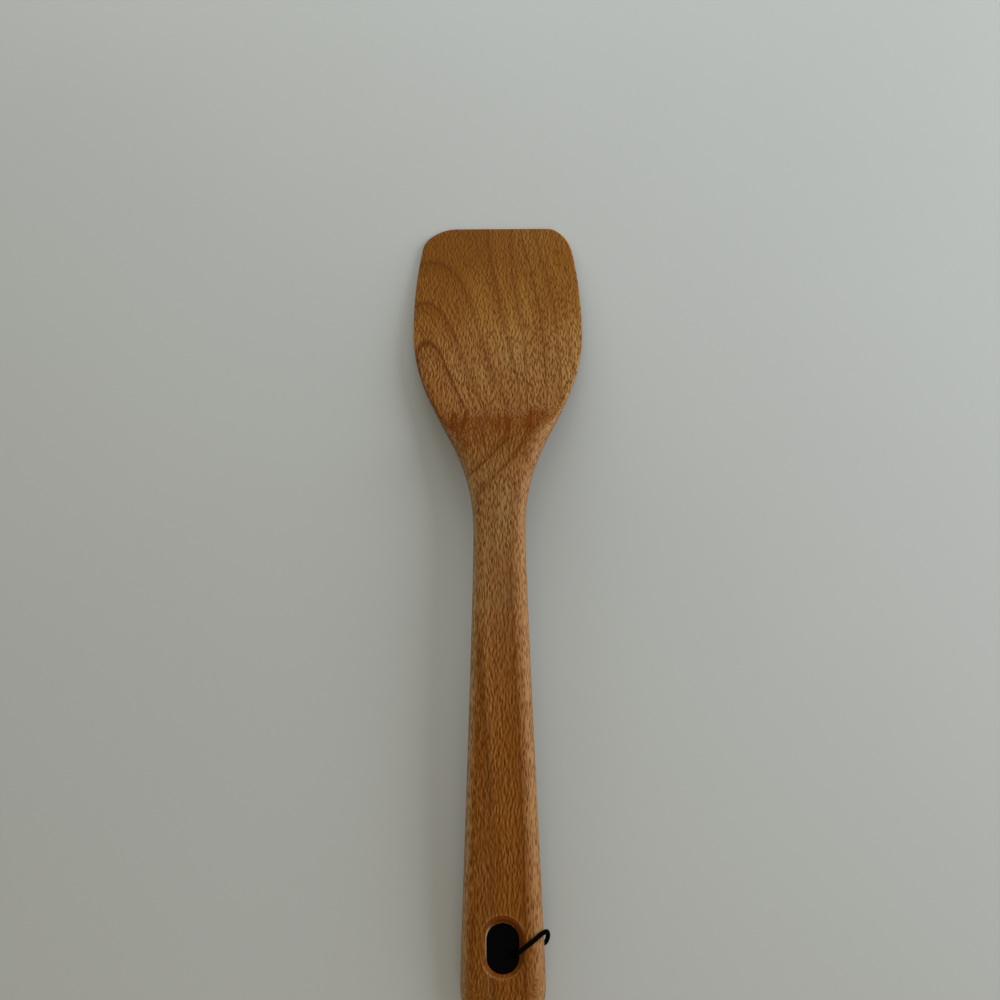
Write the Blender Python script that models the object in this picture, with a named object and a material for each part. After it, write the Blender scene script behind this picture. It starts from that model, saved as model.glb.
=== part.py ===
"""Wooden saute paddle, at its real size.

One piece of beech makes the blade, the neck and the handle. A black rubber plug
fills the hanging hole near the handle's end, and a black elastic cord runs from
the plug over the handle's right edge and back to the plug from below.

Metres, +Z up. The length runs along Y with the blade's tip at +Y, X is across,
and the paddle lies on z = 0 on its tip and on the end of its handle.
"""

import math

import bmesh
import bpy
import numpy as np

# Lengths along the paddle
LENGTH = 0.318
BLADE_WIDEST_FROM_TIP = 0.048
BLADE_LENGTH = 0.094
RAMP_LENGTH = 0.016
RAMP_SKEW = 0.10
CREASE_EASE = 0.10
CREASE_FADE = 0.011
CREASE_END = 0.024
FLANK_LEAD = 0.004
ARCH_FROM_TIP = 0.135
NECK_FROM_TIP = 0.150
HANDLE_WIDEST_FROM_END = 0.013
REST_FROM_END = 0.010

# Widths
TIP_WIDTH = 0.0614
BLADE_WIDTH = 0.0716
NECK_WIDTH = 0.0201
HANDLE_WIDTH = 0.0300
TAPER_POWER = 1.25
TAPER_LEVEL = 16.0

# Thicknesses
TIP_THICKNESS = 0.0020
BLADE_THICKNESS = 0.0042
NECK_THICKNESS = 0.0120
HANDLE_THICKNESS = 0.0139

# Side profile: the blade climbs to a low arch that comes down along the handle
BLADE_SLOPE = 0.105
BLADE_DISH = 0.0005
ARCH_HEIGHT = 0.0130
ARCH_POWER = 2.5
FLAT_DEPTH = 0.0003

# Roundings: corners of the tip, edge across the tip, and the handle's end
LEFT_CORNER_LENGTH = 0.0108
LEFT_CORNER_WIDTH = 0.0142
RIGHT_CORNER_LENGTH = 0.0130
RIGHT_CORNER_WIDTH = 0.0089
TIP_EDGE = 0.0009
END_ROUND = 0.013
END_ROUND_POWER = 2.8
END_EDGE = 0.0060

# Cross-section: exponent of its superellipse, high where the faces are flat
BLADE_SQUARENESS = 9.0
HANDLE_SQUARENESS = 3.0
SQUARENESS_LEAD = 0.014

# Hanging hole, its eased rims, and the plug in it
HOLE_FROM_END = 0.025
HOLE_WIDTH = 0.0114
HOLE_LENGTH = 0.0168
RIM_WIDTH = 0.0018
RIM_DEPTH = 0.0017
CLEARANCE = 0.0003
PLUG_RECESS = 0.0018
PLUG_EDGE = 0.0004

# Elastic cord, held taut between the plug's two faces
CORD_DIAMETER = 0.0016
CORD_STEP = 0.0020
CORD_ROUTE = [
    (0.00390, -0.13670, 0.01453),
    (0.00435, -0.13649, 0.01534),
    (0.00480, -0.13624, 0.01598),
    (0.00540, -0.13588, 0.01650),
    (0.00625, -0.13525, 0.01680),
    (0.00725, -0.13447, 0.01683),
    (0.00860, -0.13362, 0.01676),
    (0.00995, -0.13268, 0.01655),
    (0.01120, -0.13175, 0.01620),
    (0.01240, -0.13087, 0.01572),
    (0.01355, -0.13010, 0.01506),
    (0.01460, -0.12963, 0.01415),
    (0.01535, -0.12965, 0.01290),
    (0.01572, -0.13035, 0.01140),
    (0.01578, -0.13150, 0.00960),
    (0.01550, -0.13280, 0.00770),
    (0.01495, -0.13380, 0.00585),
    (0.01380, -0.13445, 0.00405),
    (0.01210, -0.13465, 0.00275),
    (0.01010, -0.13435, 0.00185),
    (0.00800, -0.13385, 0.00142),
    (0.00600, -0.13340, 0.00130),
    (0.00430, -0.13310, 0.00185),
    (0.00340, -0.13305, 0.00290),
    (0.00320, -0.13324, 0.00399),
]

# Fineness of the mesh
RING_QUARTER = 7
LONG_STEP = 0.0085
HOLE_ARC_STEPS = 10
RIM_STEPS = 3


def clear_objects():
    for old in list(bpy.data.objects):
        bpy.data.objects.remove(old, do_unlink=True)


def make_material(name, colour, roughness):
    material = bpy.data.materials.new(name)
    material.use_nodes = True
    shader = material.node_tree.nodes["Principled BSDF"]
    shader.inputs["Base Color"].default_value = (*colour, 1.0)
    shader.inputs["Roughness"].default_value = roughness
    shader.inputs["Metallic"].default_value = 0.0
    return material


def ease(t, start, end):
    """0 before start and 1 after end, with level ends: 3u^2 - 2u^3."""
    u = np.clip((t - start) / (end - start), 0.0, 1.0)
    return u * u * (3.0 - 2.0 * u)


def soft_ease(t, start, end):
    """As ease, with a longer level stretch at both ends: 6u^5 - 15u^4 + 10u^3."""
    u = np.clip((t - start) / (end - start), 0.0, 1.0)
    return u**3 * (6.0 * u * u - 15.0 * u + 10.0)


def rounding(distance, length, power):
    """Superellipse quarter: 0 at distance 0, and 1 from length onwards."""
    u = np.clip(1.0 - distance / length, 0.0, 1.0)
    return (1.0 - u**power) ** (1.0 / power)


def half_width(t):
    """Half of the paddle's width at t from the tip, before its ends are rounded: the
    handle widens by a power law that levels off near its end."""
    belly = np.clip(1.0 - t / BLADE_WIDEST_FROM_TIP, 0.0, 1.0)
    blade = BLADE_WIDTH - (BLADE_WIDTH - TIP_WIDTH) * belly**2
    flank = soft_ease(t, BLADE_WIDEST_FROM_TIP, NECK_FROM_TIP)
    widest = LENGTH - HANDLE_WIDEST_FROM_END
    taper = np.maximum((t - NECK_FROM_TIP) / (widest - NECK_FROM_TIP), 0.0) ** TAPER_POWER
    swell = taper / (1.0 + taper**TAPER_LEVEL) ** (1.0 / TAPER_LEVEL)
    return 0.5 * (blade + (NECK_WIDTH - BLADE_WIDTH) * flank + (HANDLE_WIDTH - NECK_WIDTH) * swell)


def side_edges(t):
    """X of the left and the right edge at t, with the tip's corners and the end rounded."""
    left_corner = LEFT_CORNER_WIDTH * (1.0 - rounding(t, LEFT_CORNER_LENGTH, 2.0))
    right_corner = RIGHT_CORNER_WIDTH * (1.0 - rounding(t, RIGHT_CORNER_LENGTH, 2.0))
    end = rounding(LENGTH - t, END_ROUND, END_ROUND_POWER)
    left = -(half_width(t) - left_corner) * end
    right = (half_width(t) - right_corner) * end
    return left, right


def underside(t):
    """Height of the underside: the blade's slope levels off at the arch, which then
    falls to z = 0 near the handle's end by a power law."""
    climb = BLADE_SLOPE * t / ARCH_HEIGHT
    level = climb / (1.0 + climb**6) ** (1.0 / 6.0)
    rest = LENGTH - REST_FROM_END
    fall = np.maximum((t - ARCH_FROM_TIP) / (rest - ARCH_FROM_TIP), 0.0) ** ARCH_POWER
    return ARCH_HEIGHT * level * (1.0 - fall) - FLAT_DEPTH


def handle_top(t):
    """Height of the upper side of the neck and handle."""
    swell = ease(t, NECK_FROM_TIP, LENGTH - HANDLE_WIDEST_FROM_END)
    return underside(t) + NECK_THICKNESS + (HANDLE_THICKNESS - NECK_THICKNESS) * swell


def ramp_share(past, x):
    """How far the ramp has risen at a distance past the crease: a quarter sine with a
    slightly eased start in the middle, and a longer, softer rise towards the flanks."""
    u = past / RAMP_LENGTH
    eased = 0.5 * (u + np.sqrt(u * u + CREASE_EASE**2))
    sharp = np.sin(0.5 * math.pi * np.clip(eased, 0.0, 1.0))
    soft = ease(past, -FLANK_LEAD, RAMP_LENGTH + FLANK_LEAD)
    return sharp + (soft - sharp) * ease(np.abs(x), CREASE_FADE, CREASE_END)


def upper_side(t, x):
    """Height of the upper side at t, with the blade's straight, slightly dished face
    up to a crease, and a ramp from there to the neck."""
    crease = BLADE_LENGTH - RAMP_SKEW * x
    crease_height = underside(BLADE_LENGTH) + BLADE_THICKNESS
    along = np.clip(t / BLADE_LENGTH, 0.0, 1.0)
    face = TIP_THICKNESS + (crease_height - TIP_THICKNESS) * along
    face = face - 4.0 * BLADE_DISH * along * (1.0 - along)
    return face + (handle_top(t) - face) * ramp_share(t - crease, x)


def squareness(t):
    """Exponent of the cross-section's superellipse at t."""
    ramp_end = BLADE_LENGTH + RAMP_LENGTH
    share = ease(t, BLADE_LENGTH - SQUARENESS_LEAD, ramp_end)
    return BLADE_SQUARENESS + (HANDLE_SQUARENESS - BLADE_SQUARENESS) * share


def cross_section(t):
    """Ring of points round the paddle at t, from the right edge over the top."""
    angle = np.linspace(0.0, 2.0 * math.pi, 4 * RING_QUARTER, endpoint=False)
    power = 2.0 / squareness(t)
    across = np.sign(np.cos(angle)) * np.abs(np.cos(angle)) ** power
    upward = np.sign(np.sin(angle)) * np.abs(np.sin(angle)) ** power
    left, right = side_edges(t)
    x = 0.5 * (left + right) + 0.5 * (right - left) * across
    top = upper_side(t, x)
    bottom = underside(t)
    edge = rounding(t, TIP_EDGE, 2.0) * rounding(LENGTH - t, END_EDGE, HANDLE_SQUARENESS)
    z = 0.5 * (top + bottom) + 0.5 * (top - bottom) * edge * upward
    y = np.full_like(x, 0.5 * LENGTH - t)
    return np.stack([x, y, np.maximum(z, 0.0)], axis=1)


def stations():
    """Distances from the tip where cross-sections are taken, closer where shape changes."""
    quarter = 0.5 * math.pi
    tip_edge = TIP_EDGE * (1.0 - np.cos(quarter * np.array([0.16, 0.45, 0.75, 1.0])))
    corner = TIP_EDGE + (RIGHT_CORNER_LENGTH - TIP_EDGE) * np.array([0.09, 0.22, 0.42, 0.68, 1.0])
    marks = [RIGHT_CORNER_LENGTH, BLADE_LENGTH - SQUARENESS_LEAD]
    blade = np.linspace(*marks, math.ceil((marks[1] - marks[0]) / LONG_STEP) + 1)[1:]
    crease = np.linspace(marks[1], BLADE_LENGTH + RAMP_LENGTH, 19)[1:]
    start, stop = BLADE_LENGTH + RAMP_LENGTH, LENGTH - END_ROUND
    handle = np.linspace(start, stop, math.ceil((stop - start) / LONG_STEP) + 1)[1:]
    end = LENGTH - END_ROUND * np.cos(quarter * np.linspace(0.12, 0.99, 9))
    return np.concatenate([tip_edge, corner, blade, crease, handle, end])


def loft(name, rings, material):
    """Skin over rings of points, closed by a face at each end, as an object."""
    shape = bmesh.new()
    loops = [[shape.verts.new(point) for point in ring] for ring in rings]
    count = len(loops[0])
    for low, high in zip(loops, loops[1:]):
        for i in range(count):
            j = (i + 1) % count
            shape.faces.new((low[i], low[j], high[j], high[i]))
    shape.faces.new(loops[0])
    shape.faces.new(loops[-1])
    bmesh.ops.recalc_face_normals(shape, faces=shape.faces)
    mesh = bpy.data.meshes.new(name)
    shape.to_mesh(mesh)
    shape.free()
    mesh.materials.append(material)
    piece = bpy.data.objects.new(name, mesh)
    bpy.context.collection.objects.link(piece)
    return piece


def shade_round(piece, degrees):
    piece.data.shade_smooth()
    piece.data.set_sharp_from_angle(angle=math.radians(degrees))


def hole_frame():
    """Centre of the hole, its axis square to the handle's slope, and half the depth."""
    t = LENGTH - HOLE_FROM_END
    top, bottom = handle_top(t), underside(t)
    step = 0.001
    middle_rise = (handle_top(t + step) + underside(t + step)) / 2 - (top + bottom) / 2
    slope = math.atan(middle_rise / step)
    centre = np.array([0.0, 0.5 * LENGTH - t, 0.5 * (top + bottom)])
    axis = np.array([0.0, math.sin(slope), math.cos(slope)])
    return centre, axis, 0.5 * (top - bottom) * math.cos(slope)


def slot_ring(grow, height):
    """Slot outline, two half circles and two straights, grown outwards and set at a
    height along the hole's axis."""
    centre, axis, _ = hole_frame()
    forward = np.cross(axis, (1.0, 0.0, 0.0))
    radius = 0.5 * HOLE_WIDTH + grow
    straight = 0.5 * (HOLE_LENGTH - HOLE_WIDTH)
    ring = []
    for side in (1.0, -1.0):
        for angle in np.linspace(0.0, math.pi, HOLE_ARC_STEPS + 1):
            across = side * radius * math.cos(angle)
            along = side * (straight + radius * math.sin(angle))
            ring.append(centre + (across, 0.0, 0.0) + along * forward + height * axis)
    return ring


def make_paddle():
    wood = make_material("beech", (0.42, 0.20, 0.07), 0.45)
    paddle = loft("paddle", [cross_section(t) for t in stations()], wood)
    cutter = make_hole_cutter(wood)
    cut = paddle.modifiers.new("hanging_hole", "BOOLEAN")
    cut.operation = "DIFFERENCE"
    cut.solver = "EXACT"
    cut.object = cutter
    shade_round(paddle, 40.0)
    return paddle


def make_hole_cutter(material):
    """Slot with flared ends: an elliptic arc eases each rim, and leaves the wood's
    face at an angle so that the rim has a clear edge."""
    half = hole_frame()[2]
    start = math.radians(30.0)
    reach = RIM_WIDTH / (1.0 - math.sin(start))
    depth = RIM_DEPTH / math.cos(start)
    angles = np.linspace(start, 0.5 * math.pi, RIM_STEPS + 1)
    flare = [(reach * (1.0 - math.sin(a)), half - depth * (math.cos(start) - math.cos(a))) for a in angles]
    out = reach * math.cos(start) / (depth * math.sin(start))
    over = RIM_DEPTH
    profile = [(RIM_WIDTH + over * out, half + over)] + flare
    rings = [slot_ring(grow, height) for grow, height in profile]
    rings += [slot_ring(grow, -height) for grow, height in reversed(profile)]
    cutter = loft("hole_cutter", rings, material)
    cutter.hide_render = True
    cutter.display_type = "WIRE"
    return cutter


def make_plug():
    rubber = make_material("black_rubber", (0.008, 0.008, 0.009), 0.6)
    half = hole_frame()[2] - PLUG_RECESS
    side = -CLEARANCE
    profile = [(side - PLUG_EDGE, half), (side, half - PLUG_EDGE)]
    rings = [slot_ring(grow, height) for grow, height in profile]
    rings += [slot_ring(grow, -height) for grow, height in reversed(profile)]
    plug = loft("hole_plug", rings, rubber)
    shade_round(plug, 40.0)
    return plug


def smooth_route(points, step):
    """Points at an even step along a Catmull-Rom curve through the route's points."""
    route = np.array(points)
    ends = np.vstack([2 * route[0] - route[1], route, 2 * route[-1] - route[-2]])
    u = np.linspace(0.0, 1.0, 24, endpoint=False)[:, None]
    fine = []
    for a, b, c, d in zip(ends, ends[1:], ends[2:], ends[3:]):
        fine.append(0.5 * (2 * b + (c - a) * u + (2 * a - 5 * b + 4 * c - d) * u**2
                           + (3 * b - a - 3 * c + d) * u**3))
    fine = np.vstack(fine + [route[-1:]])
    run = np.concatenate([[0.0], np.cumsum(np.linalg.norm(np.diff(fine, axis=0), axis=1))])
    places = np.linspace(0.0, run[-1], max(2, round(run[-1] / step) + 1))
    return np.stack([np.interp(places, run, fine[:, k]) for k in range(3)], axis=1)


def make_cord():
    points = smooth_route(CORD_ROUTE, CORD_STEP)
    curve = bpy.data.curves.new("hanging_cord", "CURVE")
    curve.dimensions = "3D"
    curve.bevel_depth = 0.5 * CORD_DIAMETER
    curve.bevel_resolution = 2
    curve.use_fill_caps = True
    spline = curve.splines.new("POLY")
    spline.points.add(len(points) - 1)
    for target, point in zip(spline.points, points):
        target.co = (*point, 1.0)
    curve.materials.append(make_material("black_elastic", (0.012, 0.011, 0.012), 0.8))
    cord = bpy.data.objects.new("hanging_cord", curve)
    bpy.context.collection.objects.link(cord)
    return cord


def main():
    clear_objects()
    make_paddle()
    make_plug()
    make_cord()


main()
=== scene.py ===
"""A wooden saute paddle: beech in one piece, a rubber plug in its hanging hole and a cord loop."""
import math

import bmesh
import bpy
import numpy as np
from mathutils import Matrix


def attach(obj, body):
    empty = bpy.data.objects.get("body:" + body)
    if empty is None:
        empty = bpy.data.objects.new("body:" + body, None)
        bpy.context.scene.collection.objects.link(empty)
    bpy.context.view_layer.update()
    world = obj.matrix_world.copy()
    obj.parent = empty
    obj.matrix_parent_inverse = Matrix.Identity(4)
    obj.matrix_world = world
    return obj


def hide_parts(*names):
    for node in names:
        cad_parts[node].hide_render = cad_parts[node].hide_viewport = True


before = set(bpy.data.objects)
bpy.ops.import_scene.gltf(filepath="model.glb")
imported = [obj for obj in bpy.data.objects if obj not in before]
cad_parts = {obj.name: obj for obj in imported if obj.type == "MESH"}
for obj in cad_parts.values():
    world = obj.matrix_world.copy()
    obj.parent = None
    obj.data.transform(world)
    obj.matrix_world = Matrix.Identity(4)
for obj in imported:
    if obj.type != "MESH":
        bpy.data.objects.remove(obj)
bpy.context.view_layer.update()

# Sizes of the paddle in metres; t is the distance from the blade's tip
LENGTH = 0.318
BLADE_WIDEST_FROM_TIP = 0.048
BLADE_LENGTH = 0.094
RAMP_LENGTH = 0.016
RAMP_SKEW = 0.10
CREASE_EASE = 0.10
CREASE_FADE = 0.011
CREASE_END = 0.024
FLANK_LEAD = 0.004
ARCH_FROM_TIP = 0.135
NECK_FROM_TIP = 0.150
HANDLE_WIDEST_FROM_END = 0.013
REST_FROM_END = 0.010
TIP_WIDTH = 0.0614
BLADE_WIDTH = 0.0716
NECK_WIDTH = 0.0201
HANDLE_WIDTH = 0.0300
TAPER_POWER = 1.25
TAPER_LEVEL = 16.0
TIP_THICKNESS = 0.0020
BLADE_THICKNESS = 0.0042
NECK_THICKNESS = 0.0120
HANDLE_THICKNESS = 0.0139
BLADE_SLOPE = 0.105
BLADE_DISH = 0.0005
ARCH_HEIGHT = 0.0130
ARCH_POWER = 2.5
FLAT_DEPTH = 0.0003
LEFT_CORNER_LENGTH = 0.0108
LEFT_CORNER_WIDTH = 0.0142
RIGHT_CORNER_LENGTH = 0.0130
RIGHT_CORNER_WIDTH = 0.0089
TIP_EDGE = 0.0009
END_ROUND = 0.013
END_ROUND_POWER = 2.8
END_EDGE = 0.0060
BLADE_SQUARENESS = 9.0
HANDLE_SQUARENESS = 3.0
SQUARENESS_LEAD = 0.014

# Sizes of the hanging hole, its plug and its cord
HOLE_WIDTH = 0.0114
HOLE_LENGTH = 0.0168
HOLE_CENTRE = np.array([0.0, -0.1340, 0.00927])
HOLE_AXIS = np.array([0.0, -0.15993, 0.98713])
HOLE_FORWARD = np.cross(HOLE_AXIS, (1.0, 0.0, 0.0))
HOLE_HALF_DEPTH = 0.006845
SLOT_STRAIGHT = 0.5 * (HOLE_LENGTH - HOLE_WIDTH)
RIM_WIDTH = 0.0018
RIM_DEPTH = 0.0017
RIM_POWER = 1.2
PLUG_GAP = 0.0001
PLUG_RECESS = 0.0018
PLUG_EDGE = 0.0004
PLUG_END_POINTS = 61
PLUG_SIDE_POINTS = 23
PLUG_FACE_ROWS = 42
PLUG_EDGE_ROWS = 7
PLUG_WALL_ROWS = 10
DIP_DEPTH = 0.00045
UPPER_DIP = (0.0036, -0.00206)
LOWER_DIP = (0.0032, -0.00009)
CORD_DIAMETER = 0.0016
CORD_PITCH = 0.0042
CORD_RELIEF = 0.00007
CORD_STRANDS = 3
CORD_STEP = 0.00007
UPPER_TUCK = 0.0015
LOWER_TUCK = 0.0009
CORD_ROUTE = np.array([
    (0.00390, -0.13670, 0.01453), (0.00435, -0.13649, 0.01534), (0.00480, -0.13624, 0.01598),
    (0.00540, -0.13588, 0.01650), (0.00625, -0.13525, 0.01680), (0.00725, -0.13447, 0.01683),
    (0.00860, -0.13362, 0.01676), (0.00995, -0.13268, 0.01655), (0.01120, -0.13175, 0.01620),
    (0.01240, -0.13087, 0.01572), (0.01355, -0.13010, 0.01506), (0.01460, -0.12963, 0.01415),
    (0.01535, -0.12965, 0.01290), (0.01572, -0.13035, 0.01140), (0.01578, -0.13150, 0.00960),
    (0.01550, -0.13280, 0.00770), (0.01495, -0.13380, 0.00585), (0.01380, -0.13445, 0.00405),
    (0.01210, -0.13465, 0.00275), (0.01010, -0.13435, 0.00185), (0.00800, -0.13385, 0.00142),
    (0.00600, -0.13340, 0.00130), (0.00430, -0.13310, 0.00185), (0.00340, -0.13305, 0.00290),
    (0.00320, -0.13324, 0.00399),
])

# Places on the wood in millimetres, from the paddle's middle towards the tip and from the floor up
TIP = 500.0 * LENGTH
CREASE = TIP - 1000.0 * BLADE_LENGTH
RAMP_TOP = CREASE - 1000.0 * RAMP_LENGTH
ARCH_START = TIP - 1000.0 * ARCH_FROM_TIP
END_REST = 1000.0 * REST_FROM_END - TIP
HOLE_MIDDLE = 1000.0 * float(HOLE_CENTRE[1])
HOLE_RADIUS = 500.0 * HOLE_WIDTH
HOLE_STRAIGHT = 1000.0 * SLOT_STRAIGHT
TIP_FACE = 2.0
CREASE_FACE = 13.8
RAMP_RISE = 10.0
HANDLE_FALL = 12.0

# Growth lines: distance from the heart line in millimetres, darkness, and half of the line's width
HEART_ASIDE = 30.1
GROWTH_LINES = [
    (7.3, 1.0, 0.7), (15.0, 0.65, 0.7), (24.5, 0.6, 0.8), (35.0, 0.55, 0.9), (42.0, 0.5, 0.9),
    (50.0, 0.75, 0.6), (56.0, 0.4, 0.8),
]
LINE_LEAD = 4.5
LAST_RING = 64.0

# Strength of the flecks and share of the pale tone, a painted sheen, from the handle's end at 0 to the tip at
# 1
COURSE_LENGTH = 320.0
FLECKS_ALONG = [(0.0, 0.85), (0.45, 0.9), (0.55, 1.0), (0.77, 1.0), (0.85, 0.85), (0.93, 0.75), (1.0, 0.7)]
PAINTED_SHEEN_ALONG = [
    (0.0, 0.0), (0.3, 0.02), (0.41, 0.22), (0.475, 0.5), (0.56, 0.68), (0.62, 0.35), (0.655, 0.05),
    (0.69, 0.05), (0.715, 0.7), (0.76, 0.84), (0.81, 0.58), (0.88, 0.25), (0.94, 0.1), (1.0, 0.05),
]

# Darkness of the end grain across the ramp, from left at 0 to right at 1
GRAIN_WIDTH = 50.0
END_GRAIN_ACROSS = [
    (0.0, 0.1), (0.1, 0.7), (0.14, 1.0), (0.24, 1.0), (0.27, 0.55), (0.35, 0.75), (0.43, 0.5), (0.5, 0.7),
    (0.54, 1.0), (0.59, 0.9), (0.61, 0.3), (0.65, 0.0), (0.7, 0.05), (0.735, 0.9), (0.85, 1.0), (0.88, 0.3),
    (0.95, 0.0),
]

# Fineness of the grids; the hole's block is left open in the paddle's skin
FACE_COLUMNS = 44
SIDE_COLUMNS = 16
HOLE_COLUMNS = 36
HOLE_BLOCK = (0.2790, 0.3055)
CORNER_ROWS = 36
BLADE_ROWS = 76
RAMP_ROWS = 61
NECK_ROWS = 136
END_ROWS = 40
FINE_MARGIN = 0.004
LEAN_GROWS = (0.050, 0.084)
LEAN_FADES = (0.120, 0.160)
SLEEVE_STEPS = 9
WALL_STEPS = 10
CORD_POINTS = 40
ROUTE_POINTS = 24

# Camera and light
CAMERA_PLACE = (-0.00064, -0.0943, 0.389)
CAMERA_PITCH = math.radians(18.0)
CAMERA_TURN = math.radians(-0.4545)
FLOOR_COLOUR = (0.400, 0.408, 0.376)
FLOOR_HALF = 2.5
DOME_COLOUR = (1.04, 1.0, 0.88)
DOME_STRENGTH = 0.3

# Each panel's name, turn and rise in degrees, distance, width, height, power and tint
PANELS = [
    ("right_panel", 80, 29, 0.85, 0.44, 0.81, 5.8, (0.93, 1.0, 1.14)),
    ("far_panel", 0, 18, 0.85, 0.50, 0.44, 3.5, (0.9, 0.98, 1.1)),
    ("left_panel", 320, 18, 1.15, 0.6, 0.6, 3.0, (0.98, 1.0, 1.0)),
    ("near_panel", 180, 40, 1.15, 0.6, 0.6, 1.6, (1.25, 1.0, 0.7)),
    ("top_panel", 0, 63, 1.15, 0.6, 0.6, 1.0, (1.0, 1.0, 1.0)),
]


def ease(t, start, end):
    """u * u * (3 - 2u), where u goes from 0 at start to 1 at end."""
    u = np.clip((t - start) / (end - start), 0.0, 1.0)
    return u * u * (3.0 - 2.0 * u)


def soft_ease(t, start, end):
    """u cubed times (6uu - 15u + 10), which starts and ends more softly than ease."""
    u = np.clip((t - start) / (end - start), 0.0, 1.0)
    return u**3 * (6.0 * u * u - 15.0 * u + 10.0)


def rounding(distance, length, power):
    """A quarter of a superellipse: 0 at distance 0, 1 from distance length onwards."""
    u = np.clip(1.0 - distance / length, 0.0, 1.0)
    return (1.0 - u**power) ** (1.0 / power)


def half_width(t):
    """Half the outline's width.

    It is the blade's width less a parabola towards the tip, then a soft ease down to the neck, then the
    handle's widening times u / (1 + u^n)^(1/n), where u is a power of the way to the widest place, so it
    levels off there.
    """
    belly = np.clip(1.0 - t / BLADE_WIDEST_FROM_TIP, 0.0, 1.0)
    blade = BLADE_WIDTH - (BLADE_WIDTH - TIP_WIDTH) * belly**2
    flank = soft_ease(t, BLADE_WIDEST_FROM_TIP, NECK_FROM_TIP)
    widest = LENGTH - HANDLE_WIDEST_FROM_END
    taper = np.maximum((t - NECK_FROM_TIP) / (widest - NECK_FROM_TIP), 0.0) ** TAPER_POWER
    swell = taper / (1.0 + taper**TAPER_LEVEL) ** (1.0 / TAPER_LEVEL)
    return 0.5 * (blade + (NECK_WIDTH - BLADE_WIDTH) * flank + (HANDLE_WIDTH - NECK_WIDTH) * swell)


def side_edges(t):
    """Left and right outline: half width less the tip corner's quarter ellipse, times the end's rounding."""
    left_corner = LEFT_CORNER_WIDTH * (1.0 - rounding(t, LEFT_CORNER_LENGTH, 2.0))
    right_corner = RIGHT_CORNER_WIDTH * (1.0 - rounding(t, RIGHT_CORNER_LENGTH, 2.0))
    end = rounding(LENGTH - t, END_ROUND, END_ROUND_POWER)
    left = -(half_width(t) - left_corner) * end
    right = (half_width(t) - right_corner) * end
    return left, right


def underside(t):
    """Height of the lower side: a straight climb from the tip that levels off, then a fall by a power law.

    The levelling is u / (1 + u^6)^(1/6), where u is the straight climb over the arch's height. A thin
    slice is taken off below, so that the rests near the tip and the end are flats.
    """
    climb = BLADE_SLOPE * t / ARCH_HEIGHT
    level = climb / (1.0 + climb**6) ** (1.0 / 6.0)
    rest = LENGTH - REST_FROM_END
    fall = np.maximum((t - ARCH_FROM_TIP) / (rest - ARCH_FROM_TIP), 0.0) ** ARCH_POWER
    return ARCH_HEIGHT * level * (1.0 - fall) - FLAT_DEPTH


def handle_top(t):
    """Height of the neck's and handle's upper side: the underside plus a thickness that swells to the end."""
    swell = ease(t, NECK_FROM_TIP, LENGTH - HANDLE_WIDEST_FROM_END)
    return underside(t) + NECK_THICKNESS + (HANDLE_THICKNESS - NECK_THICKNESS) * swell


def ramp_share(past, x):
    """How far the ramp has risen at a distance past the crease.

    In the middle it is a quarter sine with a slightly eased start. Towards the flanks it is a longer,
    softer rise.
    """
    u = past / RAMP_LENGTH
    eased = 0.5 * (u + np.sqrt(u * u + CREASE_EASE**2))
    sharp = np.sin(0.5 * math.pi * np.clip(eased, 0.0, 1.0))
    soft = ease(past, -FLANK_LEAD, RAMP_LENGTH + FLANK_LEAD)
    return sharp + (soft - sharp) * ease(np.abs(x), CREASE_FADE, CREASE_END)


def upper_side(t, x):
    """Height of the upper side: a straight climb dished by a parabola, then the ramp's rise to the handle."""
    crease = BLADE_LENGTH - RAMP_SKEW * x
    crease_height = underside(BLADE_LENGTH) + BLADE_THICKNESS
    along = np.clip(t / BLADE_LENGTH, 0.0, 1.0)
    face = TIP_THICKNESS + (crease_height - TIP_THICKNESS) * along
    face = face - 4.0 * BLADE_DISH * along * (1.0 - along)
    return face + (handle_top(t) - face) * ramp_share(t - crease, x)


def squareness(t):
    """Power of the cross-section's superellipse: nearly a box on the blade, round shoulders on the handle."""
    turn = ease(t, BLADE_LENGTH - SQUARENESS_LEAD, BLADE_LENGTH + RAMP_LENGTH)
    return BLADE_SQUARENESS + (HANDLE_SQUARENESS - BLADE_SQUARENESS) * turn


def edge_fade(t):
    """Share of the full thickness left at the tip's thin edge and at the handle's rounded end."""
    return rounding(t, TIP_EDGE, 2.0) * rounding(LENGTH - t, END_EDGE, HANDLE_SQUARENESS)


def face_height(t, x, side):
    """Height of the upper (side 1) or lower (side -1) face at t and x.

    It is the middle height plus or minus half the thickness times (1 - u^n)^(1/n), where u is the share
    of the way from the middle to the edge and n the squareness.
    """
    left, right = side_edges(t)
    across = np.clip(np.abs(2.0 * x - left - right) / np.maximum(right - left, 1e-9), 0.0, 1.0)
    upward = side * (1.0 - across ** squareness(t)) ** (1.0 / squareness(t))
    top, bottom = upper_side(t, x), underside(t)
    return np.maximum(0.5 * (top + bottom) + 0.5 * (top - bottom) * edge_fade(t) * upward, 0.0)


def box_outline():
    """Points round a square of half side 1, from the upper left corner along top, right, bottom and left."""
    face = np.linspace(-1.0, 1.0, FACE_COLUMNS + 1)[:-1]
    side = np.linspace(1.0, -1.0, SIDE_COLUMNS + 1)[:-1]
    ones_face, ones_side = np.ones_like(face), np.ones_like(side)
    a = np.concatenate([face, ones_side, -face, -ones_side])
    b = np.concatenate([ones_face, side, -ones_face, -side])
    return a, b


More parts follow.
